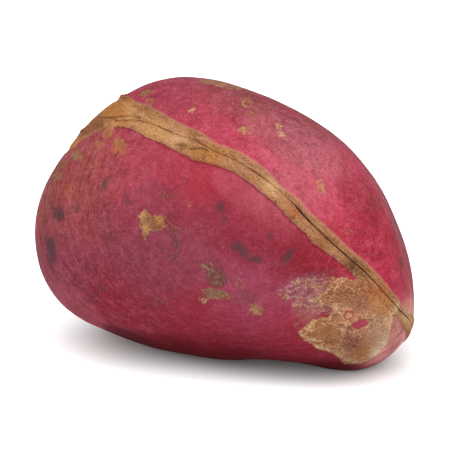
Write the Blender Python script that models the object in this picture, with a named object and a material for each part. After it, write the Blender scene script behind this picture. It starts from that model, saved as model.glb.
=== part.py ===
# A red kola nut lying on its belly: two thick seed leaves grown together along one seam.
# The blunt end is at -X, the narrower tip at +X, and -Y is the side with the seam in view.
import bpy
import bmesh
import numpy as np

MM = 0.001

# Form of the nut. A turn runs from +X towards +Y, a tilt runs up from level, both in degrees.
BODY_SEMI_AXES = (25.9 * MM, 16.7 * MM, 19.4 * MM)  # long, deep and across
BODY_YAW = -19.6  # the tip is turned towards -Y
BODY_DROOP = 21.0  # and lies lower than the blunt end
CHEEK_SHARPNESS = 12.0  # how tightly neighbouring cheeks meet
CHEEKS = (  # where the nut is pressed flatter: turn, tilt, distance from the middle
    (50, 70, 18.1 * MM),  # crown, leaning back to the right
    (140, 60, 21.1 * MM),  # crown, left
    (160, 35, 20.1 * MM),  # left shoulder
    (180, -5, 22.7 * MM),  # blunt end
    (-170, -45, 19.1 * MM),  # blunt end, below
    (-125, -60, 13.3 * MM),  # belly, front left
    (0, -90, 12.2 * MM),  # belly
    (-60, -60, 17.2 * MM),  # belly, front right
    (-20, -65, 17.6 * MM),  # belly, right
    (-20, -35, 26.6 * MM),  # tip, below
    (-15, 0, 22.8 * MM),  # tip
    (0, 25, 18.4 * MM),  # right side
    (20, 50, 17.2 * MM),  # right shoulder
    (-95, 15, 14.5 * MM),  # front
    (-110, -25, 14.5 * MM),  # front, low left
    (75, -10, 14.5 * MM),  # back
    (110, 30, 16.6 * MM),  # back left
    (35, -25, 18.1 * MM),  # back right
)
SWELLS = (  # soft local hollows (minus) and swells (plus): turn, tilt, half width in degrees, height
    (-62, -48, 20, -1.15 * MM),  # waist under the front
    (-28, -36, 12, 1.4 * MM),  # heel of the tip
)

# The seam is a wavy loop round the nut. Its axis points into the nearer seed leaf.
SEAM_AXIS = (-129.9, -38.3)  # turn and tilt
SEAM_LEAN = -1.5  # degrees off the loop's own plane
SEAM_WAVES = ((2, 1.7, 53), (3, 3.2, -12))  # waves in one round, height and phase in degrees
RIM_HEIGHT = 0.16 * MM  # raised cork rim along both lips
RIM_FLAT = 0.9 * MM  # full height out to here on either side
RIM_END = 1.8 * MM  # and level with the skin from here
CRACK_HALF_WIDTH = 0.22 * MM
CRACK_DEPTH_OPEN = 0.55 * MM
CRACK_DEPTH_SHUT = 0.15 * MM
CRACK_OPEN_RANGE = (-14, 38)  # degrees round the loop, from the tip over the front
CRACK_TAPER = 8.0  # degrees over which it closes

FOOT_CUT = 0.2 * MM  # the belly is worn flat by this much where the nut rests
FOOT_SNAP = 0.03 * MM  # points this near the cut are laid on it

# Mesh: rows run beside the seam and close on one pole in the middle of each seed leaf.
MERIDIANS = 128
ROWS = 46  # even, so that one row lies in the crack
ROWS_BESIDE_SEAM = (0.22 * MM, 0.5 * MM, 0.9 * MM, 1.35 * MM, 1.9 * MM)

SKIN_COLOUR = (0.36, 0.035, 0.085, 1.0)
SKIN_ROUGHNESS = 0.45
SHARP_ANGLE = 40  # steeper edges, such as the foot's, stay crisp


def unit_vector(turn, tilt):
    """Direction for a turn and a tilt in degrees."""
    a, b = np.radians(turn), np.radians(tilt)
    return np.array((np.cos(b) * np.cos(a), np.cos(b) * np.sin(a), np.sin(b)))


def body_axes():
    """Rows are the nut's long, deep and across directions."""
    yaw, droop = np.radians(BODY_YAW), np.radians(BODY_DROOP)
    turned = np.array(((np.cos(yaw), np.sin(yaw), 0), (-np.sin(yaw), np.cos(yaw), 0), (0, 0, 1)))
    tipped = np.array(((np.cos(droop), 0, -np.sin(droop)), (0, 1, 0), (np.sin(droop), 0, np.cos(droop))))
    return tipped @ turned


def radius_along(directions):
    """Distance from the middle to the skin along each direction."""
    across = directions @ body_axes().T / np.array(BODY_SEMI_AXES)
    total = (across ** 2).sum(axis=1) ** (CHEEK_SHARPNESS / 2)
    for turn, tilt, distance in CHEEKS:
        facing = np.clip(directions @ unit_vector(turn, tilt), 0, None)
        total += (facing / distance) ** CHEEK_SHARPNESS
    radius = total ** (-1 / CHEEK_SHARPNESS)
    for turn, tilt, half_width, height in SWELLS:
        angle = np.degrees(np.arccos(np.clip(directions @ unit_vector(turn, tilt), -1, 1)))
        radius += height * np.exp(-(angle / half_width) ** 2)
    return radius


def seam_frame():
    """The loop's axis, its start near the tip, and the way it goes on over the front."""
    axis = unit_vector(*SEAM_AXIS)
    start = -np.cross(axis, (0, 0, 1))
    start /= np.linalg.norm(start)
    return axis, start, np.cross(axis, start)


def seam_lift(around):
    """Angle between the seam and the loop's plane, for each angle round the loop."""
    lift = np.full_like(around, np.radians(SEAM_LEAN))
    for count, height, phase in SEAM_WAVES:
        lift += np.radians(height) * np.cos(count * around - np.radians(phase))
    return lift


def aim(around, lift):
    """Directions at an angle round the loop and an angle off its plane."""
    axis, start, ahead = seam_frame()
    level = np.cos(around)[:, None] * start + np.sin(around)[:, None] * ahead
    return np.cos(lift)[:, None] * level + np.sin(lift)[:, None] * axis


def crack_openness(around):
    """One where the crack gapes, falling to zero where the lips are shut."""
    degrees = np.degrees(around)
    first, last = CRACK_OPEN_RANGE
    outside = np.maximum(first - degrees, degrees - last)
    return np.clip(1 - outside / CRACK_TAPER, 0, 1)


def seam_relief(distance, around):
    """Height of the cork rim, less the crack, at a distance beside the seam."""
    past_rim = np.clip((distance - RIM_FLAT) / (RIM_END - RIM_FLAT), 0, 1)
    rim = RIM_HEIGHT * (1 - past_rim * past_rim * (3 - 2 * past_rim))
    depth = CRACK_DEPTH_SHUT + (CRACK_DEPTH_OPEN - CRACK_DEPTH_SHUT) * crack_openness(around)
    return rim - depth * np.clip(1 - distance / CRACK_HALF_WIDTH, 0, 1)


def row_angle(row, lift, radius):
    """Angle off the loop's plane of each row: close rows beside the seam, even rows beyond."""
    beside = np.array((0.0,) + ROWS_BESIDE_SEAM)
    count = np.abs(row)
    near = np.minimum(count, len(beside) - 1)
    edge = lift + np.sign(row) * beside[near] / radius
    far = (count - near) / (ROWS // 2 - len(beside) + 1)
    return edge + (np.sign(row) * np.pi / 2 - edge) * far


def shape_nut(bm):
    """Moves the points of a unit sphere onto the nut."""
    ball = np.array([v.co[:] for v in bm.verts])
    around = np.arctan2(ball[:, 1], ball[:, 0])
    row = np.rint(np.arcsin(np.clip(ball[:, 2], -1, 1)) / np.pi * ROWS).astype(int)
    lift = seam_lift(around)
    seam_radius = radius_along(aim(around, lift))
    angle = row_angle(row, lift, seam_radius)
    directions = aim(around, angle)
    distance = np.abs(angle - lift) * seam_radius
    radius = radius_along(directions) + seam_relief(distance, around)
    for vert, point in zip(bm.verts, directions * radius[:, None]):
        vert.co = point


def wear_foot(bm):
    """Cuts the belly and the heel flat where the nut rests, and closes each cut with one face."""
    floor = min(v.co.z for v in bm.verts) + FOOT_CUT
    everything = bm.verts[:] + bm.edges[:] + bm.faces[:]
    cut = bmesh.ops.bisect_plane(
        bm, geom=everything, dist=FOOT_SNAP, plane_co=(0, 0, floor), plane_no=(0, 0, -1), clear_outer=True
    )
    for item in cut["geom_cut"]:
        if isinstance(item, bmesh.types.BMVert):
            item.co.z = floor
    rim = [item for item in cut["geom_cut"] if isinstance(item, bmesh.types.BMEdge)]
    bmesh.ops.holes_fill(bm, edges=rim, sides=0)


def stand_on_origin(bm):
    """Sets the foot at z = 0 and the middle of the outline over the origin."""
    points = np.array([v.co[:] for v in bm.verts])
    low, high = points.min(axis=0), points.max(axis=0)
    bmesh.ops.translate(bm, verts=bm.verts, vec=(-(low[0] + high[0]) / 2, -(low[1] + high[1]) / 2, -low[2]))


def skin_material():
    material = bpy.data.materials.new("kola_skin")
    material.use_nodes = True
    shader = material.node_tree.nodes["Principled BSDF"]
    shader.inputs["Base Color"].default_value = SKIN_COLOUR
    shader.inputs["Roughness"].default_value = SKIN_ROUGHNESS
    shader.inputs["Metallic"].default_value = 0.0
    return material


def build_nut():
    bm = bmesh.new()
    bmesh.ops.create_uvsphere(bm, u_segments=MERIDIANS, v_segments=ROWS, radius=1.0)
    shape_nut(bm)
    wear_foot(bm)
    stand_on_origin(bm)
    bmesh.ops.recalc_face_normals(bm, faces=bm.faces)
    mesh = bpy.data.meshes.new("kola_nut")
    bm.to_mesh(mesh)
    bm.free()
    mesh.materials.append(skin_material())
    mesh.shade_smooth()
    mesh.set_sharp_from_angle(angle=np.radians(SHARP_ANGLE))
    nut = bpy.data.objects.new("kola_nut", mesh)
    bpy.context.scene.collection.objects.link(nut)
    return nut


for leftover in list(bpy.data.objects):
    bpy.data.objects.remove(leftover, do_unlink=True)
build_nut()
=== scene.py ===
import bpy
import numpy as np
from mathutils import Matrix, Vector, noise


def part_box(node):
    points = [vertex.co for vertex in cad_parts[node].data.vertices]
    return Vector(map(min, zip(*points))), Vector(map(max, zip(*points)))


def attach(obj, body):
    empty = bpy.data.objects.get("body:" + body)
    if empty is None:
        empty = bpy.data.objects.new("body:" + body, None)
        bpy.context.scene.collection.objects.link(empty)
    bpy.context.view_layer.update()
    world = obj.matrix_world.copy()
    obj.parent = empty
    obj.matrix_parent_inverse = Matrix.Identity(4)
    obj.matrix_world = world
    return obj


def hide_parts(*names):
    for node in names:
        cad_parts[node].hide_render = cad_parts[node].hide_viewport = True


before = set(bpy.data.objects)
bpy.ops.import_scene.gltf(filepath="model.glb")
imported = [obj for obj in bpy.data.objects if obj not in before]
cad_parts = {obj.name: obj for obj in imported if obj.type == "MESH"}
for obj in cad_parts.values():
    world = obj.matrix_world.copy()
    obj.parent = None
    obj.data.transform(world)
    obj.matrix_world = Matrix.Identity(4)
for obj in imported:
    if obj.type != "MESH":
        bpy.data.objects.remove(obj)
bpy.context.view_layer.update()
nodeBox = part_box("kola_nut")
print("frame loaded")

mm = 0.001  # lengths below are in millimetres unless a name says otherwise


# Colour and node helpers

def hexColour(code):
    # sRGB hex to the linear values that shaders take
    parts = [int(code[i:i + 2], 16) / 255 for i in (1, 3, 5)]
    linear = [p / 12.92 if p <= 0.04045 else ((p + 0.055) / 1.055) ** 2.4 for p in parts]
    return (*linear, 1.0)


def addNode(tree, kind, inputs=None, output=0, **settings):
    # inputs maps a socket's name or number to a value, or to the output that feeds it;
    # gives back the output asked for
    node = tree.nodes.new(kind)
    for name, value in settings.items():
        setattr(node, name, value)
    for name, value in (inputs or {}).items():
        if isinstance(value, bpy.types.NodeSocket):
            tree.links.new(value, node.inputs[name])
        else:
            node.inputs[name].default_value = value
    return node.outputs[output]


def perMetre(size):
    # noise scale for features of a size in millimetres
    return 1 / (size * mm)


def smoothStep(low, high, value):
    share = np.clip((value - low) / (high - low), 0, 1)
    return share * share * (3 - 2 * share)


# The photograph's view, which also places the marks on the nut

photoView = {
    "elevation": 15.0,  # degrees above level, looking along +Y
    "lens": 200.0,
    "sensor": 36.0,
    "distance": 274.5,  # from the camera to the aim point
    "aim": (-0.08, 0.0, 14.31),
    "frame": 450,  # pixels along each side of the picture
}


def viewAxes():
    tilt = np.radians(photoView["elevation"])
    right = np.array((1.0, 0.0, 0.0))
    up = np.array((0.0, np.sin(tilt), np.cos(tilt)))
    back = np.array((0.0, -np.cos(tilt), np.sin(tilt)))
    return right, up, back


def cameraPlace():
    return np.array(photoView["aim"]) + viewAxes()[2] * photoView["distance"]


def pixelsPerUnit():
    return photoView["lens"] / photoView["sensor"] * photoView["frame"]


def pixelSize():
    # millimetres on the nut that one pixel shows
    return photoView["distance"] / pixelsPerUnit()


def toPhoto(points):
    # where points on the nut fall in the picture
    right, up, back = viewAxes()
    away = points - cameraPlace()
    depth = -(away @ back)
    middle = photoView["frame"] / 2
    across = middle + pixelsPerUnit() * (away @ right) / depth
    down = middle - pixelsPerUnit() * (away @ up) / depth
    return np.stack((across, down), axis=-1)


# The nut's values. Turns run from +X towards +Y and tilts up from level, in degrees. Lengths are in
# millimetres. Marks in view are placed and sized in the picture's pixels, and lean clockwise in degrees.

nut = {
    # form: the frame's, with a few more swells that bring the outline closer to the picture's
    "semiAxes": (25.9, 16.7, 19.4),  # long, deep and across
    "yaw": -19.6,  # the tip is turned towards -Y
    "droop": 21.0,  # and lies lower than the blunt end
    "sharpness": 12.0,  # how tightly neighbouring cheeks meet
    "cheeks": (  # turn, tilt, distance from the middle
        (50, 70, 18.1), (140, 60, 21.1), (160, 35, 20.1), (180, -5, 22.7), (-170, -45, 19.1),
        (-125, -60, 13.3), (0, -90, 12.2), (-60, -60, 17.2), (-20, -65, 17.6), (-20, -35, 26.6),
        (-15, 0, 22.8), (0, 25, 18.4), (20, 50, 17.2), (-95, 15, 14.5), (-110, -25, 14.5),
        (75, -10, 14.5), (110, 30, 16.6), (35, -25, 18.1),
    ),
    "swells": (  # turn, tilt, half width in degrees, height
        (-62, -48, 20, -1.15), (-28, -36, 12, 1.4), (-12, 8, 14, -0.52), (-1, 66, 14, -0.22),
        (8, 83, 14, -0.2), (169, 79, 14, 0.1), (-175, 26, 14, 0.08), (179, -16, 14, 0.16),
        (172, -36, 14, -0.53), (-156, -50, 14, 0.14), (-76, -54, 14, 0.15), (-51, -41, 14, -0.12),
        (-27, -31, 14, 0.41), (-15, -12, 14, -0.57),
    ),
    "place": (0.45, 0.01, 11.98),  # where the form's middle stands in the frame
    "meridians": 512,  # columns of points round the seam
    "seamRows": ((0.05, 3), (0.09, 3), (0.14, 18)),  # spacing and count: for the crack, then the band
    "farRows": 69,  # rows on each leaf beyond those beside the seam

    # seam: a wavy loop, nudged to the crack's own path where the picture shows it
    "seamAxis": (-129.9, -38.3),  # points into the nearer seed leaf
    "seamLean": -1.5,  # degrees off the loop's own plane
    "seamWaves": ((2, 1.7, 53), (3, 3.2, -12)),  # waves in one round, height and phase in degrees
    "crackLine": (  # pixels, from the blunt end over the front to the tip
        (100, 117.5), (108, 118), (118, 121), (135, 120), (152, 123.5), (173, 133), (193, 139.5),
        (216, 151.5), (240, 163), (264, 178.5), (291, 201), (303, 214), (316, 228), (340, 250),
        (365, 272), (383, 292), (398, 309), (407.5, 318), (411, 327),
    ),
    "farEdge": (  # upper edge of the cork band
        (118, 101), (136, 103), (152, 109), (167, 117), (184, 126), (202, 134), (216, 144), (240, 153),
        (250, 160), (262, 168), (274, 180), (281, 188), (291, 195), (299, 201), (305, 209), (312, 216),
        (322, 224), (332, 233), (342, 243), (352, 253), (362, 260), (370, 268), (378, 276), (387, 287),
        (397, 298), (405, 311),
    ),
    "nearEdge": (  # lower edge, down to where the tip's scab takes over
        (104, 128), (120, 126), (132, 129), (146, 137), (164, 144), (177, 151), (193, 160), (204, 162),
        (216, 165), (232, 171), (243, 178), (254, 186), (264, 194), (273, 201), (280, 208), (285, 214),
        (291, 220), (298, 227), (306, 234), (313, 243), (323, 250), (333, 257), (342, 264), (352, 274),
        (372, 292), (394, 315),
    ),
    "seamFade": 14.0,  # degrees past the crack line over which the path goes back to the loop
    "bandHalfWidth": 1.15,  # where the picture doesn't show it
    "bandWander": 0.35,  # how far its edge strays there
    "bandHeight": 0.16,  # how far the cork stands above the skin

    # colours of skin and cork, a few also used for painted shade and painted highlights
    "tones": {
        "bruised": "#33282a", "scabLip": "#b8946a", "ringMiddle": "#a0705e", "ringRim": "#74302e",
        "crackDepth": "#24100a", "claret": "#792a37", "crimson": "#7d2d39", "scarlet": "#7b1d29",
        "blossom": "#b03a52", "flush": "#943444", "blushAndSheen": "#994c57", "rose": "#78383d",
        "dusk": "#642935", "wine": "#6b1925", "garnet": "#601019", "ruby": "#872131",
        "dust": "#8c5158", "paintedShadeWine": "#410006", "plum": "#702f40", "clay": "#713232",
        "shell": "#bb7f78", "mauve": "#6b3149", "paleCork": "#987046", "cork": "#865b3f",
        "gold": "#88562a", "tawny": "#6b4026", "rust": "#7a401f", "amber": "#8a4420",
        "brownCork": "#603821", "darkCork": "#37180c", "umber": "#63372c", "greyCork": "#795644",
        "putty": "#876957", "chalk": "#a47f5c", "bone": "#bab090", "olive": "#5b3725",
        "sage": "#432f29", "bark": "#2c1a0e", "shadowPlum": "#3c0c14",
    },

    # marks in view
    "skinZones": (  # broad tones of the skin: x, y, reach, tone, how weathered, strength of the grain
        (180, 100, 4.5, "claret", 0.5, 1.1), (215, 126, 3.5, "flush", 0.2, 1.0),
        (220, 88, 3.0, "rose", 0.9, 1.2), (250, 105, 4.0, "claret", 0.8, 1.3),
        # the pale zone at 290, 180 is a painted highlight beside the band
        (285, 128, 4.5, "rose", 0.6, 1.4), (290, 180, 3.5, "blushAndSheen", 0.3, 1.1),
        (335, 185, 4.0, "flush", 0.35, 1.2), (362, 230, 3.5, "ruby", 0.35, 1.1),
        (385, 250, 4.0, "ruby", 0.45, 1.0), (392, 200, 2.5, "rose", 0.8, 1.4),
        (90, 165, 3.5, "clay", 0.4, 1.0), (150, 165, 4.0, "crimson", 0.3, 0.9),
        (205, 178, 4.0, "scarlet", 0.1, 0.45), (250, 210, 4.0, "wine", 0.2, 0.6),
        (305, 262, 3.5, "garnet", 0.2, 0.5), (200, 240, 4.0, "dusk", 0.8, 0.6),
        (145, 262, 4.0, "dusk", 0.9, 0.7), (62, 205, 4.0, "clay", 0.7, 0.9),
        (70, 270, 4.0, "dusk", 0.8, 0.8), (110, 300, 4.0, "wine", 0.6, 0.7),
        (255, 290, 4.5, "plum", 0.4, 0.7), (200, 316, 3.8, "wine", 0.4, 0.5),
        # the deep red zones from 150, 346 along the bottom are painted shade, where the nut turns down to
        # the floor
        (285, 335, 4.0, "wine", 0.1, 0.35), (150, 346, 2.8, "paintedShadeWine", 0.1, 0.1),
        (190, 352, 3.0, "paintedShadeWine", 0.1, 0.1), (235, 355, 3.4, "paintedShadeWine", 0.1, 0.1),
        (285, 360, 3.2, "paintedShadeWine", 0.1, 0.1), (325, 366, 2.0, "paintedShadeWine", 0.1, 0.1),
        (398, 338, 2.5, "shell", 0.2, 1.0),
    ),
    "stains": (  # soft hazes in the skin: x, y, half length, half width, lean, strength, tone
        # some of these hazes are painted shade and painted highlights, noted where they stand
        (50, 190, 6, 26, 14, 0.5, "umber"), (70, 189, 5, 7, 0, 0.35, "rust"),
        (92, 160, 8, 10, 0, 0.2, "rust"), (308, 293, 20, 15, 0, 0.5, "mauve"),
        (312, 150, 34, 14, 38, 0.36, "dust"), (262, 118, 16, 12, 20, 0.25, "dust"),
        (216, 277, 9, 8, 40, 0.6, "sage"), (246, 298, 12, 6, 10, 0.3, "sage"),
        (376, 202, 7, 5, 40, 0.35, "umber"), (366, 246, 16, 9, 50, 0.3, "garnet"),
        (356, 190, 20, 12, 55, 0.2, "garnet"), (254, 150, 26, 8, 38, 0.27, "blossom"),
        (108, 222, 20, 16, 0, 0.3, "garnet"), (166, 214, 14, 14, 0, 0.32, "garnet"),
        (238, 104, 22, 9, 15, 0.3, "umber"), (258, 96, 26, 7, 18, 0.3, "umber"),
        (328, 296, 10, 12, 0, 0.35, "greyCork"), (322, 306, 12, 6, 0, 0.3, "shadowPlum"),
        # the garnet oval at 262, 254 is painted shade under a low ridge
        (262, 254, 46, 13, 20, 0.45, "garnet"), (310, 302, 12, 18, 0, 0.3, "greyCork"),
        (105, 228, 14, 12, 0, 0.2, "umber"), (152, 202, 22, 16, 0, 0.5, "dusk"),
        # the pale oval at 240, 190 is a painted highlight below the band
        (108, 216, 14, 12, 0, 0.4, "dusk"), (240, 190, 26, 12, 38, 0.25, "blushAndSheen"),
        (108, 133, 5, 3, -45, 0.45, "gold"), (116, 144, 3, 7, 15, 0.4, "gold"),
        (121, 150, 5, 4, 10, 0.45, "gold"), (99, 145, 4, 3, 0, 0.4, "gold"),
        (360, 324, 9, 5, -18, 0.2, "rose"), (80, 309, 28, 9, 42, 0.3, "blushAndSheen"),
        (401, 286, 6, 18, -12, 0.5, "flush"), (360, 205, 24, 12, 55, 0.3, "garnet"),
        (395, 331, 6, 18, 12, 0.4, "rose"), (404, 312, 6, 12, 30, 0.3, "chalk"),
        (128, 338, 20, 6, 25, 0.75, "shadowPlum"),
    ),
    "bruises": (  # soft dark spots in the skin: x, y, half length, half width, lean, strength
        (58, 213, 7, 8, 0, 1.0), (51, 250, 5.5, 15, -8, 1.0), (105, 184, 3.5, 6.5, 20, 0.95),
        (101, 192, 5, 5, 0, 0.45), (129, 201, 3.5, 4, 0, 0.7), (148, 173, 5, 4, 0, 0.25),
        (186, 181, 4, 3, -20, 0.5), (178, 176, 3, 2, 0, 0.3), (76, 208, 4.5, 7, 10, 0.55),
        (111, 237, 7, 8, 30, 0.45), (176, 240, 5, 12, -20, 0.5), (174, 256, 9, 5, 10, 0.5),
        (132, 262, 5, 3, 30, 0.4), (102, 288, 4.5, 3, 20, 0.6), (94, 294, 4, 3, 20, 0.5),
        (82, 287, 5, 3, 30, 0.4), (87, 301, 4, 4, 0, 0.4), (86, 266, 5, 6, 0, 0.3),
        (221, 208, 5.5, 6.5, -10, 0.9), (224, 219, 3.5, 6, -10, 0.55), (218, 243, 6, 6, 0, 0.35),
        (240, 249, 11, 5.5, 40, 0.95), (257, 259, 9, 4, 8, 0.75), (262, 262, 26, 5, 14, 0.3),
        (269, 236, 4, 4, 0, 0.6), (273, 253, 3, 5, 0, 0.35), (288, 256, 8.5, 4.5, -62, 1.0),
        (294, 221, 5, 3, 40, 0.6), (403, 262, 5, 6, 0, 0.6), (217, 262, 2, 2, 0, 0.9),
        (205, 296, 4, 3.5, 0, 0.7), (318, 274, 14, 4, -8, 0.4), (308, 292, 18, 12, 10, 0.3),
    ),
    "tipScab": (  # outline of the wide scab that covers the tip below the crack
        (333, 281), (345, 277), (354, 285), (357, 279), (352, 272), (356, 264), (372, 281), (386, 295),
        (397, 307), (392, 315), (390, 326), (388, 338), (384, 346), (378, 353), (368, 360), (358, 364),
        (345, 364), (339, 358), (331, 352), (318, 349), (310, 343), (302, 338), (299, 332), (304, 328),
        (310, 325), (312, 319), (328, 318), (334, 312), (331, 306), (321, 306), (319, 298), (325, 290),
    ),
    "cornerScab": (  # cork over the blunt end's corner
        (122, 96), (130, 98), (140, 104), (146, 112), (140, 124), (128, 127), (117, 125), (108, 125),
        (98, 130), (88, 136), (80, 141), (72, 148), (64, 150), (74, 134), (90, 118), (106, 108),
    ),
    "oliveScab": (  # the biggest scab on the nearer leaf
        (138, 215), (142, 212), (145, 209), (149, 213), (151, 216), (160, 215), (167, 216), (164, 221),
        (165, 226), (162, 230), (150, 231), (147, 235), (146, 240), (143, 237), (142, 231), (139, 226),
        (141, 221),
    ),
    "scabs": (  # small patches of cork: x, y, half length, half width, lean, tone, cover
        (108, 132, 6, 4, -40, "rust", 0.6), (120, 145, 8, 7, 40, "rust", 0.5),
        (99, 144, 5, 4, 0, "rust", 0.45), (77, 155, 6, 5, -20, "olive", 0.6),
        (57, 177, 5, 5, 0, "olive", 0.65), (63, 164, 4, 6, 30, "olive", 0.45),
        (127, 100, 4, 4, 0, "rust", 0.9), (146, 93, 7, 3, -15, "olive", 0.6),
        (150, 102, 4, 4, 0, "rust", 0.5), (223, 84, 24, 3.6, 10, "greyCork", 0.55),
        (246, 102, 6, 5, 15, "cork", 0.42), (192, 110, 4, 2, -20, "chalk", 0.5),
        (246, 130, 8, 4, 0, "cork", 0.45), (254, 117, 6, 5, 20, "rust", 0.4),
        (279, 126, 4, 3, 60, "chalk", 0.52), (281, 134, 4, 3, 0, "chalk", 0.52),
        (321, 186, 4, 9, -15, "cork", 0.48), (317, 168, 3, 9, -10, "cork", 0.4),
        (349, 232, 3, 4, 0, "rust", 0.35), (173, 228, 5, 10, -35, "brownCork", 0.4),
        (207, 267, 7, 5, 20, "sage", 0.5), (216, 277, 9, 6, 40, "sage", 0.35),
        (238, 281, 3, 4, 0, "olive", 0.5), (243, 286, 4, 2.5, 10, "rust", 0.4),
        (213, 293, 11, 5.5, 5, "sage", 0.62), (225, 296, 5, 3.5, 20, "olive", 0.5),
        (204, 300, 4, 2.5, 0, "greyCork", 0.6), (257, 308, 7.5, 5.5, 25, "olive", 0.55),
        (251, 313, 3, 2, 0, "chalk", 0.5), (284, 296, 7, 4, 20, "greyCork", 0.38),
        (290, 303, 6, 3, 20, "greyCork", 0.4), (300, 283, 7, 4, 0, "greyCork", 0.4),
        (314, 283, 12, 5, 0, "greyCork", 0.4), (341, 282, 12, 5, 0, "rust", 0.6),
        (308, 304, 12, 4, 10, "greyCork", 0.35), (408, 322, 4, 13, -25, "olive", 0.75),
        (396, 326, 4, 14, 5, "rust", 0.3), (88, 301, 5, 4, 0, "sage", 0.2),
        (160, 303, 6, 5, 0, "sage", 0.25), (136, 168, 5, 7, 0, "sage", 0.15),
        (166, 196, 6, 7, 0, "sage", 0.3), (176, 240, 8, 16, -20, "darkCork", 0.25),
        (204, 235, 5, 6, 0, "darkCork", 0.15), (298, 296, 14, 8, 10, "putty", 0.25),
        (310, 282, 18, 6, 0, "putty", 0.3), (318, 300, 9, 8, 0, "greyCork", 0.45),
        (300, 320, 8, 8, 0, "umber", 0.25), (325, 275, 10, 4, -20, "sage", 0.3),
        (186, 203, 4, 3, 0, "chalk", 0.2), (214, 308, 4, 5, 0, "chalk", 0.2),
    ),
    "corkZones": (  # cork tones within the scabs and the band: x, y, reach in pixels, tone
        (142, 215, 4, "paleCork"), (160, 220, 4.5, "gold"), (146, 228, 3.5, "paleCork"),
        (115, 112, 10, "gold"), (98, 125, 8, "olive"), (88, 134, 8, "umber"),
        (132, 113, 6, "paleCork"), (148, 109, 10, "brownCork"), (160, 119, 6, "brownCork"),
        (158, 132, 14, "paleCork"), (180, 141, 9, "chalk"), (178, 126, 8, "cork"),
        (182, 147, 5, "tawny"), (197, 134, 7, "tawny"), (197, 155, 7, "gold"),
        (215, 155, 10, "gold"), (240, 168, 12, "cork"), (272, 187, 9, "chalk"),
        (285, 200, 7, "cork"), (297, 212, 7, "amber"), (305, 208, 7, "greyCork"),
        (307, 227, 8, "cork"), (322, 243, 9, "tawny"), (336, 243, 7, "brownCork"),
        (333, 253, 8, "cork"), (352, 266, 9, "darkCork"), (366, 267, 8, "brownCork"),
        (388, 292, 8, "cork"), (338, 298, 12, "brownCork"), (350, 292, 8, "brownCork"),
        (328, 290, 7, "brownCork"), (362, 288, 8, "tawny"), (376, 293, 10, "rust"),
        (360, 303, 8, "umber"), (382, 306, 8, "gold"), (340, 310, 7, "greyCork"),
        (372, 325, 12, "greyCork"), (380, 338, 9, "putty"), (389, 322, 4, "chalk"),
        (386, 344, 4, "bone"), (378, 354, 5, "bone"), (325, 323, 9, "tawny"),
        (312, 333, 9, "tawny"), (330, 335, 9, "tawny"), (327, 344, 7, "brownCork"),
        (348, 337, 9, "umber"), (350, 355, 8, "greyCork"), (345, 320, 6, "cork"),
        (360, 353, 6, "gold"), (330, 350, 5, "tawny"), (355, 345, 8, "umber"),
        (407, 318, 8, "chalk"),
    ),
    "frayedSkin": (  # scuffed into fine pale threads: x, y, half length, half width, lean, strength
        (302, 292, 20, 9, 14, 0.85), (320, 282, 17, 6, 0, 0.9), (314, 304, 15, 9, 15, 0.8),
        (298, 279, 10, 4, -10, 0.4), (326, 309, 12, 7, 0, 0.5), (397, 330, 6, 14, 10, 0.5),
        (300, 316, 8, 5, 0, 0.3),
    ),
    "islands": (  # whole skin left inside the tip's scab
        (360, 324, 9, 4.5, -18),
        (320, 313, 9, 3.8, -6),
    ),
    "strokes": (  # fine ridges and splits: half width, height, tone, strength, way in pixels
        (0.22, 0.12, "bone", 0.35, ((398, 301), (392, 315), (389, 328), (387, 340), (381, 350), (371, 358))),
        # the ridge from 124, 104 is raised, and its pale colour is a painted highlight
        (0.10, 0.08, "chalk", 0.45, ((124, 104), (132, 110), (140, 114), (150, 120))),
        # this dark stroke and the one at 107, 118 follow the crack, painted as the shadow inside it
        (0.10, -0.06, "bark", 0.5, ((120, 117), (133, 116), (143, 119))),
        (0.09, 0.06, "bone", 0.35, ((300, 334), (309, 339), (320, 341))),
        (0.09, 0.06, "bone", 0.35, ((306, 341), (316, 347), (330, 350), (341, 356))),
        (0.12, 0.05, "bone", 0.3, ((348, 360), (360, 363), (372, 359))),
        (0.14, 0.06, "chalk", 0.6, ((335, 306), (341, 309), (351, 309))),
        (0.14, 0.05, "chalk", 0.5, ((268, 184), (276, 186), (284, 190))),
        (0.14, 0.05, "chalk", 0.5, ((198, 138), (204, 139), (212, 143))),
        (0.13, -0.10, "bark", 0.8, ((191, 149), (197, 149.5), (204, 148.5), (208, 151))),
        (0.12, -0.06, "bark", 0.5, ((205, 152), (206, 156), (203, 159))),
        (0.12, -0.06, "bark", 0.5, ((174, 145), (182, 145), (187, 147))),
        (0.12, -0.05, "bark", 0.5, ((161, 117), (166, 120), (168, 123))),
        (0.12, -0.05, "bark", 0.4, ((197, 131), (203, 133), (207, 137))),
        (0.12, -0.08, "bark", 0.7, ((107, 118), (113, 117.5), (117, 118))),
        (0.12, -0.05, "bark", 0.5, ((230, 154), (236, 160))),
        (0.14, -0.05, "bark", 0.7, ((358, 321), (364, 319), (371, 319))),
        (0.12, -0.05, "bark", 0.7, ((341, 324), (346, 326), (353, 329))),
        (0.12, -0.04, "bark", 0.6, ((329, 314), (335, 316))),
        (0.14, -0.05, "bark", 0.5, ((345, 345), (352, 341), (360, 340))),
        (0.14, -0.05, "bark", 0.5, ((343, 352), (350, 347), (358, 345))),
        (0.16, -0.06, "bark", 0.5, ((354, 266), (360, 273), (368, 279))),
        (0.20, -0.08, "bark", 0.6, ((292, 217), (295, 222))),
        (0.26, 0.32, "bark", 0.6, ((123, 97), (127, 101))),
        (0.20, 0.12, "bark", 0.4, ((82, 131), (84, 132))),
        (0.22, -0.16, "bark", 0.3, ((66, 151), (69, 149))),
    ),
    "crustedTip": (345, 322, 56, 48, 0),  # oval over the tip, where the crust is ridged
    "knot": (198, 154, 9, 6.5, 8),  # a curled flake on the band
    "knotHeight": 0.2,
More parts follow.
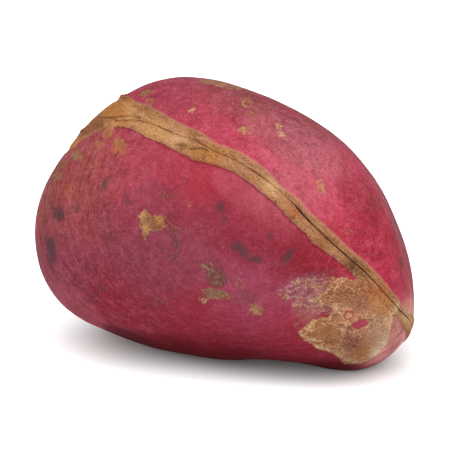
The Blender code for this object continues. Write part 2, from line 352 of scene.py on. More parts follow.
    "ringPlace": (349, 315.5),  # a ring scar on the tip
    "ringRadius": 0.46,
    "ringWidth": 0.17,

    # guessed marks on the sides that the picture doesn't show
    "backZones": (  # turn, tilt, reach, tone, how weathered, strength of the grain
        (60, 20, 5.0, "rose", 0.5, 1.2), (110, 8, 5.0, "dusk", 0.8, 0.9),
        (150, 20, 4.0, "clay", 0.6, 0.9), (85, 48, 4.0, "claret", 0.4, 1.2),
        (90, -25, 5.0, "wine", 0.4, 0.6), (30, -10, 4.5, "ruby", 0.3, 0.9),
        # the deep red zone at -10, -55 is painted shade on the underside
        (140, -22, 5.0, "dusk", 0.8, 0.7), (-10, -55, 4.0, "paintedShadeWine", 0.2, 0.3),
    ),
    "backScabs": (  # turn, tilt, size, tone, cover
        (100, 28, 2.2, "olive", 0.5), (108, 22, 1.2, "rust", 0.5), (58, 38, 1.6, "rust", 0.45),
        (35, 5, 1.4, "sage", 0.5), (138, 8, 1.8, "brownCork", 0.5), (70, -12, 1.6, "greyCork", 0.5),
        (78, -15, 0.9, "olive", 0.55), (150, 38, 1.2, "olive", 0.5), (15, 12, 0.9, "chalk", 0.5),
    ),
    "backBruises": (  # turn, tilt, size, strength
        (75, 5, 1.1, 0.8), (83, 1, 0.8, 0.6), (122, 26, 0.9, 0.7), (128, -6, 1.4, 0.8),
        (45, 14, 0.7, 0.6), (60, -30, 1.2, 0.6), (-2, 4, 0.8, 0.6),
    ),

    # relief, out from the plain form
    "lumps": (7.0, 0.10),  # size and height of the soft lumps
    "dimples": (2.4, 0.035),  # and likewise for these two
    "wrinkles": (0.9, 0.012),
    "scabLift": 0.05,  # how far the cork of a scab stands above the skin
    "bruiseDent": 0.07,
    "crackShut": (0.056, 0.14),  # half width and depth
    "crackOpen": (0.11, 0.6),
    "openRange": (-9, 34),  # degrees round the loop where it gapes
    "widest": (30, 9, 0.38),  # where it gapes most: degrees round the loop, spread, share of the opening
    "crackTaper": 5.0,  # degrees over which it closes
    "crackRagged": (1.8, 0.45),  # size and share of the unevenness in its width
    "veinAxis": (-95, 25),  # the skin's fine veins run in rounds about this direction
    "veinFadeIn": (25, 55),  # degrees from the axis over which they begin to show
    "veinDrum": 15.0,  # radius of the drum that their pattern is drawn on, and of the one for the band
    "bandDrum": 17.0,

    # finish. Veins lie about 0.3 apart, and mottling and cracks too are drawn at their real size. Real
    # pores and fibres are 0.05 to 0.1 across: grit, specks, crumbs and fibres are drawn coarser, because
    # anything finer falls between the picture's pixels of 0.11.
    "skinRoughness": 0.58,
    "corkRoughness": 0.85,
    "roughnessSpread": 0.1,
    "ior": 1.45,
    "specular": 0.012,  # a dusty bloom leaves almost no mirror reflection
    "bump": 0.08,
    "edgeStray": (1.3, 0.35, 0.06),  # how far noise moves the edges of scabs, band and crack
    "patterns": {  # noise: where, size along and across, detail, roughness
        "mottle": ("object", 1.5, 1.5, 6.0, 0.68),
        "blotch": ("object", 0.6, 0.6, 4.0, 0.7),
        "grit": ("object", 0.17, 0.17, 3.0, 0.75),
        "specks": ("object", 0.36, 0.36, 5.0, 0.75),
        "patch": ("object", 3.5, 3.5, 3.0, 0.5),
        "tooth": ("object", 0.55, 0.55, 6.0, 0.8),  # the ragged edge of a scab
        "crumbs": ("object", 0.32, 0.32, 5.0, 0.75),
        "crust": ("object", 1.0, 1.0, 5.0, 0.65),
        "splits": ("bandPlace", 2.0, 0.4, 4.0, 0.6),
        "net": ("object", 1.5, 0.6, 4.0, 0.6),
        "veins": ("veinPlace", 2.8, 0.3, 5.0, 0.7),
        "fibres": ("bandPlace", 0.6, 0.17, 5.0, 0.75),
    },
    "skinLayers": (  # pattern, where it starts and is full, share, mask, tone
        ("mottle", 0.46, 0.68, 0.27, "dusty", "#46101c"),
        ("mottle", 0.50, 0.32, 0.21, "dusty", "#985062"),
        ("veins", 0.50, 0.66, 0.58, "veined", "#400a14"),
        ("veins", 0.48, 0.32, 0.48, "veined", "#8e4656"),
        ("blotch", 0.50, 0.66, 0.24, "dusty", "#3e0c14"),
        ("blotch", 0.48, 0.34, 0.16, "dusty", "#a05a68"),
        ("grit", 0.50, 0.66, 0.31, "grainy", "#2c1010"),
        ("grit", 0.48, 0.34, 0.18, "grainy", "#a06c74"),
        ("net", 0.034, 0.0, 0.48, "frayed", "#b09080"),
        ("crumbs", 0.48, 0.62, 0.55, "frayed", "#4a2c30"),
        ("specks", 0.50, 0.62, 0.60, "weathered", "#3a2622"),
        ("specks", 0.38, 0.28, 0.40, "grainy", "#b07880"),
    ),
    "corkLayers": (
        ("crumbs", 0.50, 0.64, 0.16, "offBand", "#3a2212"),
        ("crumbs", 0.48, 0.34, 0.16, "offBand", "#a88460"),
        ("crumbs", 0.50, 0.64, 0.14, "onBand", "#331c0e"),
        ("crumbs", 0.48, 0.34, 0.15, "onBand", "#b89468"),
        ("crumbs", 0.47, 0.61, 0.50, "bandRim", "#3a1e10"),
        ("fibres", 0.50, 0.66, 0.16, "onBand", "#3a2412"),
        ("fibres", 0.48, 0.34, 0.13, "onBand", "#b8966c"),
        ("grit", 0.51, 0.66, 0.25, "onBand", "#2e1a0e"),
        ("grit", 0.48, 0.34, 0.18, "onBand", "#c0a07a"),
        ("grit", 0.51, 0.66, 0.32, "offBand", "#3a2414"),
        ("grit", 0.48, 0.34, 0.26, "offBand", "#b8987a"),
        ("crust", 0.026, 0.0, 0.65, "scabRim", "#c0a07e"),
        ("net", 0.016, 0.0, 0.60, "scabRim", "#3a2416"),
        ("splits", 0.020, 0.0, 0.60, "onBand", "#2a160a"),
    ),
    "skinHeights": (("veins", 0.8), ("blotch", 0.8), ("grit", 0.9)),  # in units of the bump
    "corkRise": 3.2,  # in the same units
    "corkHeights": (("crumbs", -1.8), ("fibres", -0.6), ("grit", -1.0), ("crust", -1.4), ("splits", 4.0)),
}


# Form

middle = np.array(nut["place"])


def unitVector(turn, tilt):
    a, b = np.radians(turn), np.radians(tilt)
    return np.array((np.cos(b) * np.cos(a), np.cos(b) * np.sin(a), np.sin(b)))


def bodyAxes():
    yaw, droop = np.radians(nut["yaw"]), np.radians(nut["droop"])
    turned = np.array(((np.cos(yaw), np.sin(yaw), 0), (-np.sin(yaw), np.cos(yaw), 0), (0, 0, 1)))
    tipped = np.array(((np.cos(droop), 0, -np.sin(droop)), (0, 1, 0), (np.sin(droop), 0, np.cos(droop))))
    return tipped @ turned


def radiusAlong(directions):
    power = nut["sharpness"]
    across = directions @ bodyAxes().T / np.array(nut["semiAxes"])
    total = (across ** 2).sum(axis=1) ** (power / 2)
    for turn, tilt, distance in nut["cheeks"]:
        ahead = np.clip(directions @ unitVector(turn, tilt), 0, None)
        total += (ahead / distance) ** power
    radius = total ** (-1 / power)
    for turn, tilt, halfWidth, height in nut["swells"]:
        angle = np.degrees(np.arccos(np.clip(directions @ unitVector(turn, tilt), -1, 1)))
        radius += height * np.exp(-(angle / halfWidth) ** 2)
    return radius


def pointAlong(turn, tilt):
    direction = unitVector(turn, tilt)
    return middle + direction * radiusAlong(direction[None])[0]


def fromPhoto(spots):
    # points on the nut behind spots in the picture, found by walking in along each line of sight
    right, up, back = viewAxes()
    offset = (np.array(spots, dtype=float) - photoView["frame"] / 2) / pixelsPerUnit()
    rays = offset[:, :1] * right - offset[:, 1:] * up - back
    rays /= np.linalg.norm(rays, axis=1)[:, None]
    start = cameraPlace() - middle
    stride = 0.25
    reach = 30  # the whole nut lies this close to the aim point's distance

    def insideNut(steps):
        places = start + rays * steps[:, None]
        distance = np.linalg.norm(places, axis=1)
        return distance < radiusAlong(places / distance[:, None])

    hit = np.full(len(spots), np.nan)
    for step in np.arange(-reach, reach, stride) + photoView["distance"]:
        steps = np.full(len(spots), step)
        hit = np.where(np.isnan(hit) & insideNut(steps), step, hit)
    hit = np.where(np.isnan(hit), photoView["distance"], hit)  # just off the nut: level with its middle
    near, far = hit - stride, hit
    for _ in range(12):  # halve the last stride until the skin is pinned down
        half = (near + far) / 2
        inside = insideNut(half)
        far = np.where(inside, half, far)
        near = np.where(inside, near, half)
    return middle + start + rays * far[:, None]


# Seam

def seamFrame():
    axis = unitVector(*nut["seamAxis"])
    start = -np.cross(axis, (0, 0, 1))
    start /= np.linalg.norm(start)
    return axis, start, np.cross(axis, start)


def seamPlace(directions):
    # degrees round the loop, and radians off its plane
    axis, start, ahead = seamFrame()
    around = np.degrees(np.arctan2(directions @ ahead, directions @ start))
    return around, np.arcsin(np.clip(directions @ axis, -1, 1))


def wavyLift(around):
    lift = np.full_like(around, np.radians(nut["seamLean"]))
    for count, height, phase in nut["seamWaves"]:
        lift += np.radians(height) * np.cos(np.radians(count * around - phase))
    return lift


def pictureLine(spots):
    # degrees round the loop and radians off its plane for a line drawn in the picture
    points = fromPhoto(spots) - middle
    around, lift = seamPlace(points / np.linalg.norm(points, axis=1)[:, None])
    order = np.argsort(around)
    return around[order], lift[order]


crackAround, crackLift = pictureLine(nut["crackLine"])
crackNudge = crackLift - wavyLift(crackAround)


def seamLift(around):
    past = np.maximum(crackAround[0] - around, around - crackAround[-1])
    share = smoothStep(0, 1, 1 - past / nut["seamFade"])
    return wavyLift(around) + share * np.interp(around, crackAround, crackNudge)


def aim(around, lift):
    axis, start, ahead = seamFrame()
    turn = np.radians(around)
    level = np.cos(turn)[:, None] * start + np.sin(turn)[:, None] * ahead
    return np.cos(lift)[:, None] * level + np.sin(lift)[:, None] * axis


# Grid of points: rows beside the seam, closing on one pole in the middle of each leaf

def buildGrid():
    spacing = [step for step, count in nut["seamRows"] for _ in range(count)]
    beside = np.concatenate(((0.0,), np.cumsum(spacing)))
    around = np.linspace(-180, 180, nut["meridians"], endpoint=False)
    lift = seamLift(around)
    seamRadius = radiusAlong(aim(around, lift))
    count = len(beside) - 1 + nut["farRows"]
    rows = []
    for row in range(-count, count + 1):
        side = np.sign(row)
        near = min(abs(row), len(beside) - 1)
        edge = lift + side * beside[near] / seamRadius
        share = (abs(row) - near) / (nut["farRows"] + 1)
        rows.append(edge + (side * np.pi / 2 - edge) * share)
    angle = np.array(rows)
    turn = np.broadcast_to(around, angle.shape)
    ring = aim(turn.ravel(), angle.ravel())
    axis = seamFrame()[0]
    return np.vstack((ring, -axis, axis)), angle.shape


def gridFaces(shape):
    rows, columns = shape
    index = np.arange(rows * columns).reshape(rows, columns)
    ahead = np.roll(index, -1, axis=1)
    quads = np.stack((index[:-1], ahead[:-1], ahead[1:], index[1:]), axis=-1).reshape(-1, 4)
    south, north = rows * columns, rows * columns + 1
    bottom = [(south, b, a) for a, b in zip(index[0], ahead[0])]
    top = [(north, a, b) for a, b in zip(index[-1], ahead[-1])]
    return quads.tolist() + bottom + top


directions, gridShape = buildGrid()
plainRadius = radiusAlong(directions)
plainPoints = middle + directions * plainRadius[:, None]
around, lift = seamPlace(directions)
beside = (lift - seamLift(around)) * plainRadius  # positive on the nearer leaf
photoPlace = toPhoto(plainPoints)
print("grid", gridShape, "of", len(directions), "points")


def facingCamera():
    # above zero where the plain form faces the picture's camera
    stepSize = 0.01
    slopes = []
    for step in np.eye(3) * stepSize:
        moved = directions * plainRadius[:, None] + step
        distance = np.linalg.norm(moved, axis=1)
        slopes.append((distance - radiusAlong(moved / distance[:, None])) / stepSize)
    normals = np.stack(slopes, axis=-1)
    normals /= np.linalg.norm(normals, axis=1)[:, None]
    toCamera = cameraPlace() - plainPoints
    toCamera /= np.linalg.norm(toCamera, axis=1)[:, None]
    return (normals * toCamera).sum(axis=1)


def noiseAt(points, size, seed):
    # soft noise from -1 to 1 with features of about a size in millimetres
    shift = Vector((seed * 7.31, seed * 3.17, seed * 5.73))
    return np.array([noise.noise(Vector(p) / size + shift) for p in points.tolist()])


facing = facingCamera()
fineNoise = noiseAt(plainPoints, size=0.7, seed=11)
edgeNoise = noiseAt(plainPoints, size=2.6, seed=17)  # for the edges that the picture doesn't show


# Where the marks lie, as distances inside their edges in millimetres, negative outside. Marks placed by the
# picture end where the nut turns away from its camera.

farOutside = -9.0


def markSize(halfLong, halfWide):
    return np.sqrt(halfLong * halfWide) * pixelSize()


def ovalField(x, y, halfLong, halfWide, lean):
    turn = np.radians(lean)
    away = photoPlace - (x, y)
    u = away[:, 0] * np.cos(turn) + away[:, 1] * np.sin(turn)
    v = -away[:, 0] * np.sin(turn) + away[:, 1] * np.cos(turn)
    share = np.sqrt((u / halfLong) ** 2 + (v / halfWide) ** 2)
    inside = (1 - share) * markSize(halfLong, halfWide)
    return np.maximum(inside - 3.0 * smoothStep(0.12, -0.12, facing), farOutside)


def roundField(turn, tilt, size):
    # a round mark in a direction from the nut's middle
    away = np.linalg.norm(plainPoints - pointAlong(turn, tilt), axis=1)
    return np.maximum(size - away, farOutside)


def lineDistance(a, b):
    a, b = np.array(a, dtype=float), np.array(b, dtype=float)
    share = np.clip(((photoPlace - a) @ (b - a)) / ((b - a) @ (b - a)), 0, 1)
    return np.linalg.norm(photoPlace - a - share[:, None] * (b - a), axis=1)


def shapeField(outline):
    inside = np.zeros(len(photoPlace), dtype=bool)
    distance = np.full(len(photoPlace), np.inf)
    x, y = photoPlace[:, 0], photoPlace[:, 1]
    for a, b in zip(outline, outline[1:] + outline[:1]):
        distance = np.minimum(distance, lineDistance(a, b))
        if a[1] != b[1]:
            crosses = (a[1] > y) != (b[1] > y)
            inside ^= crosses & (x < (b[0] - a[0]) * (y - a[1]) / (b[1] - a[1]) + a[0])
    signed = np.where(inside, distance, -distance) * pixelSize()
    return np.maximum(signed - (3.2 + 2.6 * edgeNoise) * smoothStep(0.06, -0.16, facing), farOutside)


def strokeDistance(way):
    # distance from a line drawn in the picture
    distance = np.full(len(photoPlace), np.inf)
    for a, b in zip(way[:-1], way[1:]):
        distance = np.minimum(distance, lineDistance(a, b))
    return np.where(facing > -0.15, distance * pixelSize(), -farOutside)


def bandEdge(spots):
    # width of the band beside the crack, from an edge drawn in the picture
    at, edgeLift = pictureLine(spots)
    return at, np.abs(edgeLift - seamLift(at)) * radiusAlong(aim(at, edgeLift))


def bandWidths():
    wander = noiseAt(plainPoints, size=4.0, seed=3) * nut["bandWander"]
    widths = []
    for spots in (nut["farEdge"], nut["nearEdge"]):
        at, width = bandEdge(spots)
        past = np.maximum(at[0] - around, around - at[-1])
        share = smoothStep(0, 1, 1 - past / 10)
        unseen = nut["bandHalfWidth"] + wander
        widths.append(share * np.interp(around, at, width) + (1 - share) * unseen)
    return np.where(beside > 0, widths[1], widths[0])


bandWidth = bandWidths()
bandField = bandWidth - np.abs(beside)


# Colours of the marks

def toneOf(name):
    return np.array(hexColour(nut["tones"][name])[:3])


def layOver(colour, share, name):
    return colour + share[:, None] * (toneOf(name) - colour)


def paintSkin():
    # the skin's broad colour, blended between the zones, with plain crimson elsewhere; some zones and stains
    # are painted shade and painted highlights
    zones = nut["skinZones"] + nut["backZones"]
    places = [*fromPhoto([zone[:2] for zone in nut["skinZones"]])]
    places += [pointAlong(*zone[:2]) for zone in nut["backZones"]]
    total = np.full(len(plainPoints), 0.02)  # weight of the plain crimson
    colour = total[:, None] * toneOf("crimson")
    worn, grit = total * 0.4, total.copy()
    for place, (_, _, reach, tone, wear, grain) in zip(places, zones):
        weight = np.exp(-(np.linalg.norm(plainPoints - place, axis=1) / reach) ** 2)
        total += weight
        colour += weight[:, None] * toneOf(tone)
        worn += weight * wear
        grit += weight * grain
    colour /= total[:, None]
    for x, y, halfLong, halfWide, lean, strength, tone in nut["stains"]:
        inside = ovalField(x, y, halfLong * 1.4, halfWide * 1.4, lean) / markSize(halfLong, halfWide)
        colour = layOver(colour, strength * smoothStep(-0.24, 0.4, inside + 0.14 * fineNoise), tone)
    # painted shadow below the band's lower edge, and a painted highlight along its upper edge
    bandEdgeShadowAndGlint = np.exp(-((bandField + 0.05) / 0.12) ** 2)  # a thin line, dark under the band and pale above
    colour = layOver(colour, 0.55 * bandEdgeShadowAndGlint * (beside > 0), "paintedShadeWine")
    colour = layOver(colour, 0.5 * bandEdgeShadowAndGlint * (beside < 0), "chalk")
    return colour, worn / total, grit / total


def brokenUp(field, cover):
    # kept so low inside its edge that noise breaks the cork up, until about the cover's share is left
    return np.minimum(field, (cover - 0.5) * 0.5)


def drawnScabs():
    drawn = [
        (shapeField(nut["tipScab"]), "cork"),
        (shapeField(nut["cornerScab"]), "gold"),
        (shapeField(nut["oliveScab"]), "olive"),
    ]
    for *oval, tone, cover in nut["scabs"]:
        drawn.append((brokenUp(ovalField(*oval), cover), tone))
    for turn, tilt, size, tone, cover in nut["backScabs"]:
        drawn.append((brokenUp(roundField(turn, tilt, size), cover), tone))
    return drawn


def paintScabs():
    # distance inside the nearest scab's edge, and the cork's colour, with a painted highlight and a painted
    # shadow along the band's edges
    total = np.exp(np.clip(bandField, -3, 1) / 0.3)
    colour = total[:, None] * toneOf("cork")
    field = np.full(len(plainPoints), farOutside)
    for own, tone in drawnScabs():
        field = np.maximum(field, own)
        weight = np.exp(np.clip(own, -3, 1) / 0.25)
        colour += weight[:, None] * toneOf(tone)
        total += weight
    colour /= total[:, None]
    for x, y, reach, tone in nut["corkZones"]:
        away = ((photoPlace - (x, y)) ** 2).sum(axis=1)
        inView = smoothStep(-0.35, 0.0, facing + 0.1 * edgeNoise)
        colour = layOver(colour, 0.9 * np.exp(-away / (reach * 1.2) ** 2) * inView, tone)
    # a pale line painted as the highlight on the band's raised upper edge, and a dark one as the shadow at
    # its lower edge
    lip = np.exp(-((bandField - 0.08) / 0.10) ** 2) * (beside < 0) * (facing > -0.15)
    colour = layOver(colour, 0.35 * lip, "chalk")
    ledgeShadow = np.exp(-((bandField - 0.02) / 0.12) ** 2) * (beside > 0)
    colour = layOver(colour, 0.4 * ledgeShadow, "umber")
    for halfWidth, _, tone, strength, way in nut["strokes"]:
        colour = layOver(colour, strength * np.exp(-(strokeDistance(way) / halfWidth) ** 2), tone)
    for island in nut["islands"]:
        field = np.minimum(field, -ovalField(*island))
    return field, colour


def ovalShade(ovals, swell, low, high, stray):
    # strongest of a set of soft ovals, whose edges stray
    shade = np.zeros(len(plainPoints))
    for x, y, halfLong, halfWide, lean, strength in ovals:
        inside = ovalField(x, y, halfLong * swell, halfWide * swell, lean) / markSize(halfLong, halfWide)
        shade = np.maximum(shade, strength * smoothStep(low, high, inside + stray * fineNoise))
    return shade


def bruiseShade():
    shade = ovalShade(nut["bruises"], swell=1.25, low=-0.5, high=1.1, stray=0.4)
    for turn, tilt, size, strength in nut["backBruises"]:
        inside = roundField(turn, tilt, size) / size
        shade = np.maximum(shade, strength * smoothStep(-0.5, 1.1, inside + 0.5 * fineNoise))
    return shade


skinColour, weathered, grainShare = paintSkin()
scabField, scabColour = paintScabs()
bruise = bruiseShade()
print("marks placed")


# Relief and mesh

def crackShape():
    first, last = nut["openRange"]
    outside = np.maximum(first - around, around - last)
    openness = np.clip(1 - outside / nut["crackTaper"], 0, 1)
    at, spread, share = nut["widest"]
    openness *= 1 - share + share * np.exp(-((around - at) / spread) ** 2)
    shutWidth, shutDepth = nut["crackShut"]
    openWidth, openDepth = nut["crackOpen"]
    width = shutWidth + (openWidth - shutWidth) * openness
    size, share = nut["crackRagged"]
    width *= 1 + share * noiseAt(plainPoints, size, seed=9)
    return width, shutDepth + (openDepth - shutDepth) * openness


crackWidth, crackDepth = crackShape()


def buildRelief():
    rise = np.zeros(len(plainPoints))
    for seed, name in ((1, "lumps"), (2, "dimples"), (4, "wrinkles")):
        size, height = nut[name]
        rise += noiseAt(plainPoints, size, seed) * height
    lip = np.clip(np.abs(beside) / bandWidth, 0, 1)  # from the crack to the band's edge
    raised = smoothStep(-0.05, 0.12, bandField + 0.06 * fineNoise)
    rise += nut["bandHeight"] * raised * (0.75 + 0.25 * np.sin(np.pi * lip))
    rise += nut["scabLift"] * smoothStep(-0.1, 0.15, scabField + 0.25 * fineNoise) * (1 - raised)
    rise -= nut["bruiseDent"] * bruise
    for halfWidth, height, _, _, way in nut["strokes"]:
        rise += height * np.exp(-(strokeDistance(way) / halfWidth) ** 2)
    knot = smoothStep(-0.05, 0.3, ovalField(*nut["knot"]) + 0.1 * fineNoise)
    rise += nut["knotHeight"] * knot
    gap = np.clip(1 - np.abs(beside) / crackWidth, 0, 1) ** 0.7
    return rise - (crackDepth + raised * nut["bandHeight"]) * gap


def buildNut():
    points = middle + directions * (plainRadius + buildRelief())[:, None]
    points[:, 2] = np.maximum(points[:, 2], 0.0)
    low, high = np.array(nodeBox[0]) / mm, np.array(nodeBox[1]) / mm
    points *= min(1.0, ((high - low) / (points.max(axis=0) - points.min(axis=0))).min())
    points += np.clip(0.0, low - points.min(axis=0), high - points.max(axis=0))
    mesh = bpy.data.meshes.new("kolaNut")
    mesh.from_pydata((points * mm).tolist(), [], gridFaces(gridShape))
    mesh.shade_smooth()
    piece = bpy.data.objects.new("kolaNut", mesh)
    bpy.context.scene.collection.objects.link(piece)
    return piece


def keepAttribute(mesh, name, values):
    # colours and places are named as such, and the others are one number for each point
    kind, field = "FLOAT", "value"
    if name.endswith("Colour"):
        kind, field = "FLOAT_COLOR", "color"
        values = np.column_stack((values, np.ones(len(values))))
    elif name.endswith("Place"):
        kind, field = "FLOAT_VECTOR", "vector"
    layer = mesh.attributes.new(name, kind, "POINT")
    layer.data.foreach_set(field, values.astype(np.float32).ravel())


def drumPlace(turn, radius, across):
    # a place on a drum, so that a pattern can be drawn out round it: two numbers go round, one across
    turned = np.stack((np.cos(turn), np.sin(turn)), axis=-1) * radius
    return np.column_stack((turned, across)) * mm


def veinPlaces():
    axis = unitVector(*nut["veinAxis"])
    side = np.cross(axis, (0, 0, 1))
    side /= np.linalg.norm(side)
    top = np.cross(side, axis)
    turn = np.arctan2(directions @ top, directions @ side)
    angle = np.arccos(np.clip(directions @ axis, -1, 1))
    low, high = nut["veinFadeIn"]
    share = smoothStep(low, high, np.degrees(angle)) * smoothStep(-0.5, 1.5, beside)
    return drumPlace(turn, nut["veinDrum"], angle * nut["veinDrum"]), share


kolaNut = buildNut()
veinPlace, veinShare = veinPlaces()
keptValues = (  # one value for each point, which the material reads
    ("skinColour", skinColour),
    ("scabColour", scabColour),
    ("scabField", scabField),
    ("bruise", bruise),
    ("weathered", weathered),
    ("grainShare", grainShare),
    ("frayed", ovalShade(nut["frayedSkin"], swell=1.3, low=-0.1, high=0.6, stray=0.3)),
    ("crusted", smoothStep(-0.5, 0.5, ovalField(*nut["crustedTip"]))),
    ("veinPlace", veinPlace),
    ("veinShare", veinShare),
    ("bandPlace", drumPlace(np.radians(around), nut["bandDrum"], beside)),
    ("bandField", bandField),
    ("crackField", crackWidth - np.abs(beside)),
)
for name, values in keptValues:
    keepAttribute(kolaNut.data, name, values)
print("nut built with", len(kolaNut.data.polygons), "faces")


# Material. Kola nut skin is a thin satin seed coat that dried on the seed: crimson, with veins, pores and
# a dusty bloom. Where it is worn or never grew over, dry cork shows. The eye sees a soft sheen and fine
# mottling on the coat, and matt, fibrous tan cork that is darker in its cracks.

# sockets of a ramp: 0 value, 1 and 2 from, 3 and 4 to; of a mix: 0 share, 2 and 3 numbers, 6 and 7 colours
mathNode, rampNode, mixNode = "ShaderNodeMath", "ShaderNodeMapRange", "ShaderNodeMix"
smooth = "SMOOTHSTEP"


def ringMiddle():
    # the ring scar's middle on the finished skin, in metres
    away = np.linalg.norm(plainPoints - fromPhoto([nut["ringPlace"]])[0], axis=1)
    return kolaNut.data.vertices[int(np.argmin(away))].co


def buildPatterns(tree, places):
    patterns = {}
    for name, (where, along, across, detail, rough) in nut["patterns"].items():
        scale = (perMetre(along), perMetre(along), perMetre(across))
        sized = addNode(tree, "ShaderNodeMapping", {"Vector": places[where], "Scale": scale})
        inputs = {"Vector": sized, "Scale": 1.0, "Detail": detail, "Roughness": rough}
        patterns[name] = addNode(tree, "ShaderNodeTexNoise", inputs)
    for name in ("net", "crust", "splits"):  # thin lines, where the noise passes its middle
        away = addNode(tree, mathNode, {0: patterns[name], 1: 0.5}, operation="SUBTRACT")
        patterns[name] = addNode(tree, mathNode, {0: away}, operation="ABSOLUTE")
    return patterns


def buildMasks(tree, kept, patterns):
    # where each layer of a pattern shows, and how strongly
    onBand = addNode(tree, rampNode, {0: kept["bandField"], 1: -0.1, 2: 0.2}, interpolation_type=smooth)
    offBand = addNode(tree, mathNode, {0: 1.0, 1: onBand}, operation="SUBTRACT")
    veined = addNode(tree, mathNode, {0: kept["veinShare"], 1: 0.7, 2: 0.3}, operation="MULTIPLY_ADD")
    patchy = addNode(tree, rampNode, {0: patterns["patch"], 1: 0.35, 2: 0.58}, interpolation_type=smooth)
    nearRim = addNode(tree, rampNode, {0: kept["bandField"], 1: 0.45, 2: 0.1}, interpolation_type=smooth)
    inputs = {0: kept["scabField"], 1: 1.5, 2: 0.4, 3: 0.2, 4: 1.0}
    ridged = addNode(tree, rampNode, inputs, interpolation_type=smooth)
    ridged = addNode(tree, mathNode, {0: kept["crusted"], 1: ridged}, operation="MULTIPLY")
    return {
        "grainy": kept["grainShare"],
        "dusty": addNode(tree, mathNode, {0: kept["grainShare"], 1: 0.9}, operation="MULTIPLY"),
        "veined": addNode(tree, mathNode, {0: kept["grainShare"], 1: veined}, operation="MULTIPLY"),
        "weathered": addNode(tree, mathNode, {0: kept["weathered"], 1: patchy}, operation="MULTIPLY"),
        "frayed": kept["frayed"],
        "onBand": onBand,
        "offBand": offBand,
        "bandRim": addNode(tree, mathNode, {0: onBand, 1: nearRim}, operation="MULTIPLY"),
        "scabRim": addNode(tree, mathNode, {0: offBand, 1: ridged}, operation="MULTIPLY"),
    }


def layTone(tree, colour, field, start, full, share, tone, mask=1.0):
    # lays a tone over a colour, from where a field passes start to where it is full
    inputs = {0: field, 1: start, 2: full, 4: share}
    amount = addNode(tree, rampNode, inputs, interpolation_type=smooth)
    amount = addNode(tree, mathNode, {0: amount, 1: mask}, operation="MULTIPLY")
    inputs = {0: amount, 6: colour, 7: hexColour(tone)}
    return addNode(tree, mixNode, inputs, output=2, data_type="RGBA")


def paintLayers(tree, colour, layers, patterns, masks):
    for name, start, full, share, mask, tone in layers:
        colour = layTone(tree, colour, patterns[name], start, full, share, tone, masks[mask])
    return colour


def sumHeights(tree, heights, patterns, start):
    total = start
    for name, weight in heights:
        inputs = {0: patterns[name], 1: weight, 2: total}
        total = addNode(tree, mathNode, inputs, operation="MULTIPLY_ADD")
    return total


def paintRing(tree, place, wander, colour):
    # a healed scar: a darker rim round a paler middle
    inputs = {0: place, 1: ringMiddle()}
    away = addNode(tree, "ShaderNodeVectorMath", inputs, output="Value", operation="DISTANCE")
    away = addNode(tree, mathNode, {0: wander, 1: 0.9 * mm, 2: away}, operation="MULTIPLY_ADD")
    colour = layTone(tree, colour, away, 0.34 * mm, 0.16 * mm, 0.5, nut["tones"]["ringMiddle"])
    offRim = addNode(tree, mathNode, {0: away, 1: nut["ringRadius"] * mm}, operation="SUBTRACT")
    offRim = addNode(tree, mathNode, {0: offRim}, operation="ABSOLUTE")
    return layTone(tree, colour, offRim, nut["ringWidth"] * mm, 0.02 * mm, 0.85, nut["tones"]["ringRim"])


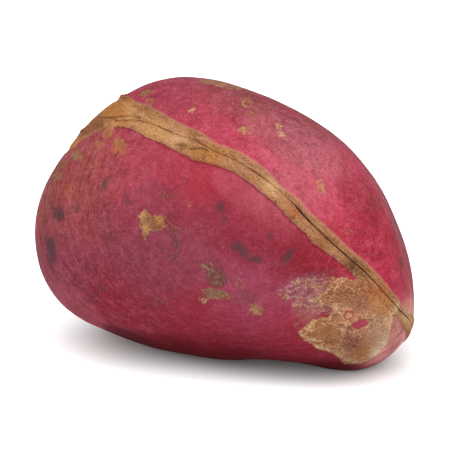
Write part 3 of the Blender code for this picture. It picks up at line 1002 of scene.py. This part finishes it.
def skinMaterial():
    material = bpy.data.materials.new("kolaSeedCoat")
    material.use_nodes = True
    tree = material.node_tree
    shader = tree.nodes["Principled BSDF"]
    kept = {}
    for name, _ in keptValues:
        output = "Color" if name.endswith("Colour") else "Vector" if name.endswith("Place") else "Fac"
        kept[name] = addNode(tree, "ShaderNodeAttribute", output=output, attribute_name=name)
    place = addNode(tree, "ShaderNodeTexCoord", output="Object")
    places = {"object": place, "veinPlace": kept["veinPlace"], "bandPlace": kept["bandPlace"]}
    patterns = buildPatterns(tree, places)
    masks = buildMasks(tree, kept, patterns)

    # the skin, with its bruises
    skin = paintLayers(tree, kept["skinColour"], nut["skinLayers"], patterns, masks)
    speckle = addNode(tree, mathNode, {0: patterns["specks"], 1: 0.5}, operation="SUBTRACT")
    bruised = addNode(tree, mathNode, {0: speckle, 1: 1.5, 2: kept["bruise"]}, operation="MULTIPLY_ADD")
    skin = layTone(tree, skin, bruised, -0.02, 1.08, 0.82, nut["tones"]["bruised"])

    # where it gives way to the cork
    wander = addNode(tree, mathNode, {0: patterns["tooth"], 1: 0.5}, operation="SUBTRACT")
    strayed = []
    for stray, name in zip(nut["edgeStray"], ("scabField", "bandField", "crackField")):
        inputs = {0: wander, 1: stray, 2: kept[name]}
        strayed.append(addNode(tree, mathNode, inputs, operation="MULTIPLY_ADD"))
    scabReach, bandReach, crackReach = strayed
    onScab = addNode(tree, rampNode, {0: scabReach, 1: -0.10, 2: 0.10}, interpolation_type=smooth)
    onBand = addNode(tree, rampNode, {0: bandReach, 1: -0.04, 2: 0.05}, interpolation_type=smooth)
    corkMask = addNode(tree, mathNode, {0: onScab, 1: onBand}, operation="MAXIMUM")

    # the dry cork, paler along a scab's lip
    cork = paintLayers(tree, kept["scabColour"], nut["corkLayers"], patterns, masks)
    lip = addNode(tree, rampNode, {0: scabReach, 1: -0.08, 2: 0.04}, interpolation_type=smooth)
    cork = layTone(tree, cork, scabReach, 0.18, 0.05, 0.2, nut["tones"]["scabLip"], lip)
    colour = addNode(tree, mixNode, {0: corkMask, 6: skin, 7: cork}, output=2, data_type="RGBA")

    # the ring scar, and the crack, painted dark as the shadow inside it
    colour = paintRing(tree, place, wander, colour)
    colour = layTone(tree, colour, crackReach, 0.0, 0.06, 1.0, nut["tones"]["crackDepth"])
    tree.links.new(colour, shader.inputs["Base Color"])

    # rougher and smoother by half of the spread with the mottling
    spread = nut["roughnessSpread"]
    inputs = {0: corkMask, 3: nut["skinRoughness"] - spread / 2, 4: nut["corkRoughness"] - spread / 2}
    roughness = addNode(tree, rampNode, inputs)
    inputs = {0: patterns["mottle"], 1: spread, 2: roughness}
    roughness = addNode(tree, mathNode, inputs, operation="MULTIPLY_ADD")
    tree.links.new(roughness, shader.inputs["Roughness"])
    shader.inputs["IOR"].default_value = nut["ior"]
    shader.inputs["Specular IOR Level"].default_value = nut["specular"]

    skinHeight = sumHeights(tree, nut["skinHeights"], patterns, 0.0)
    corkHeight = sumHeights(tree, nut["corkHeights"], patterns, nut["corkRise"])
    height = addNode(tree, mixNode, {0: corkMask, 2: skinHeight, 3: corkHeight}, data_type="FLOAT")
    inputs = {"Height": height, "Distance": nut["bump"] * mm, "Strength": 1.0}
    tree.links.new(addNode(tree, "ShaderNodeBump", inputs), shader.inputs["Normal"])
    return material


kolaNut.data.materials.append(skinMaterial())
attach(kolaNut, "root")
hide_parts("kola_nut")
print("skin painted")


# Stage: pale ground, a wide soft light from the front, and the picture's camera

stage = {
    "groundSize": 4.0,  # metres
    "groundColour": "#ececec",
    "skyLow": 0.9,  # brightness of the room near the floor and overhead
    "skyHigh": 1.4,
    "lightStrength": 3.9,  # of the softbox
    "lightSpread": 90.0,  # degrees
    "lightFrom": (-0.14, -0.72, 0.69),  # the way towards it
}


def buildGround():
    mesh = bpy.data.meshes.new("ground")
    half = stage["groundSize"] / 2
    corners = [(-half, -half, 0), (half, -half, 0), (half, half, 0), (-half, half, 0)]
    mesh.from_pydata(corners, [], [(0, 1, 2, 3)])
    ground = bpy.data.objects.new("ground", mesh)
    bpy.context.scene.collection.objects.link(ground)
    # matt white paper, pressed smooth: it scatters light evenly, so the eye sees nothing on it but shadow
    material = bpy.data.materials.new("whitePaperGround")
    material.use_nodes = True
    shader = material.node_tree.nodes["Principled BSDF"]
    shader.inputs["Base Color"].default_value = hexColour(stage["groundColour"])
    shader.inputs["Roughness"].default_value = 0.95
    shader.inputs["Specular IOR Level"].default_value = 0.1
    mesh.materials.append(material)
    return ground


def buildLight():
    world = bpy.data.worlds.new("studio")
    world.use_nodes = True
    tree = world.node_tree
    direction = addNode(tree, "ShaderNodeTexCoord", output="Generated")
    rise = addNode(tree, "ShaderNodeSeparateXYZ", {"Vector": direction}, output="Z")
    inputs = {0: rise, 2: 0.9, 3: stage["skyLow"], 4: stage["skyHigh"]}
    glow = addNode(tree, rampNode, inputs, interpolation_type=smooth)
    background = tree.nodes["Background"]
    background.inputs["Color"].default_value = (1.0, 1.0, 1.0, 1.0)
    tree.links.new(glow, background.inputs["Strength"])
    bpy.context.scene.world = world
    data = bpy.data.lights.new("softbox", "SUN")
    data.energy = stage["lightStrength"]
    data.angle = np.radians(stage["lightSpread"])
    light = bpy.data.objects.new("softbox", data)
    light.rotation_mode = "QUATERNION"
    light.rotation_quaternion = Vector(stage["lightFrom"]).to_track_quat("Z", "Y")
    bpy.context.scene.collection.objects.link(light)


def buildCamera():
    data = bpy.data.cameras.new("photoCamera")
    data.lens = photoView["lens"]
    data.sensor_width = photoView["sensor"]
    data.clip_start = 0.01
    data.clip_end = 20
    camera = bpy.data.objects.new("photoCamera", data)
    camera.location = Vector(cameraPlace() * mm)
    camera.rotation_mode = "QUATERNION"
    camera.rotation_quaternion = Vector(viewAxes()[2]).to_track_quat("Z", "Y")
    bpy.context.scene.collection.objects.link(camera)
    bpy.context.scene.camera = camera


ground = buildGround()
buildLight()
buildCamera()
bpy.context.scene.view_settings.view_transform = "Standard"
print("stage ready")
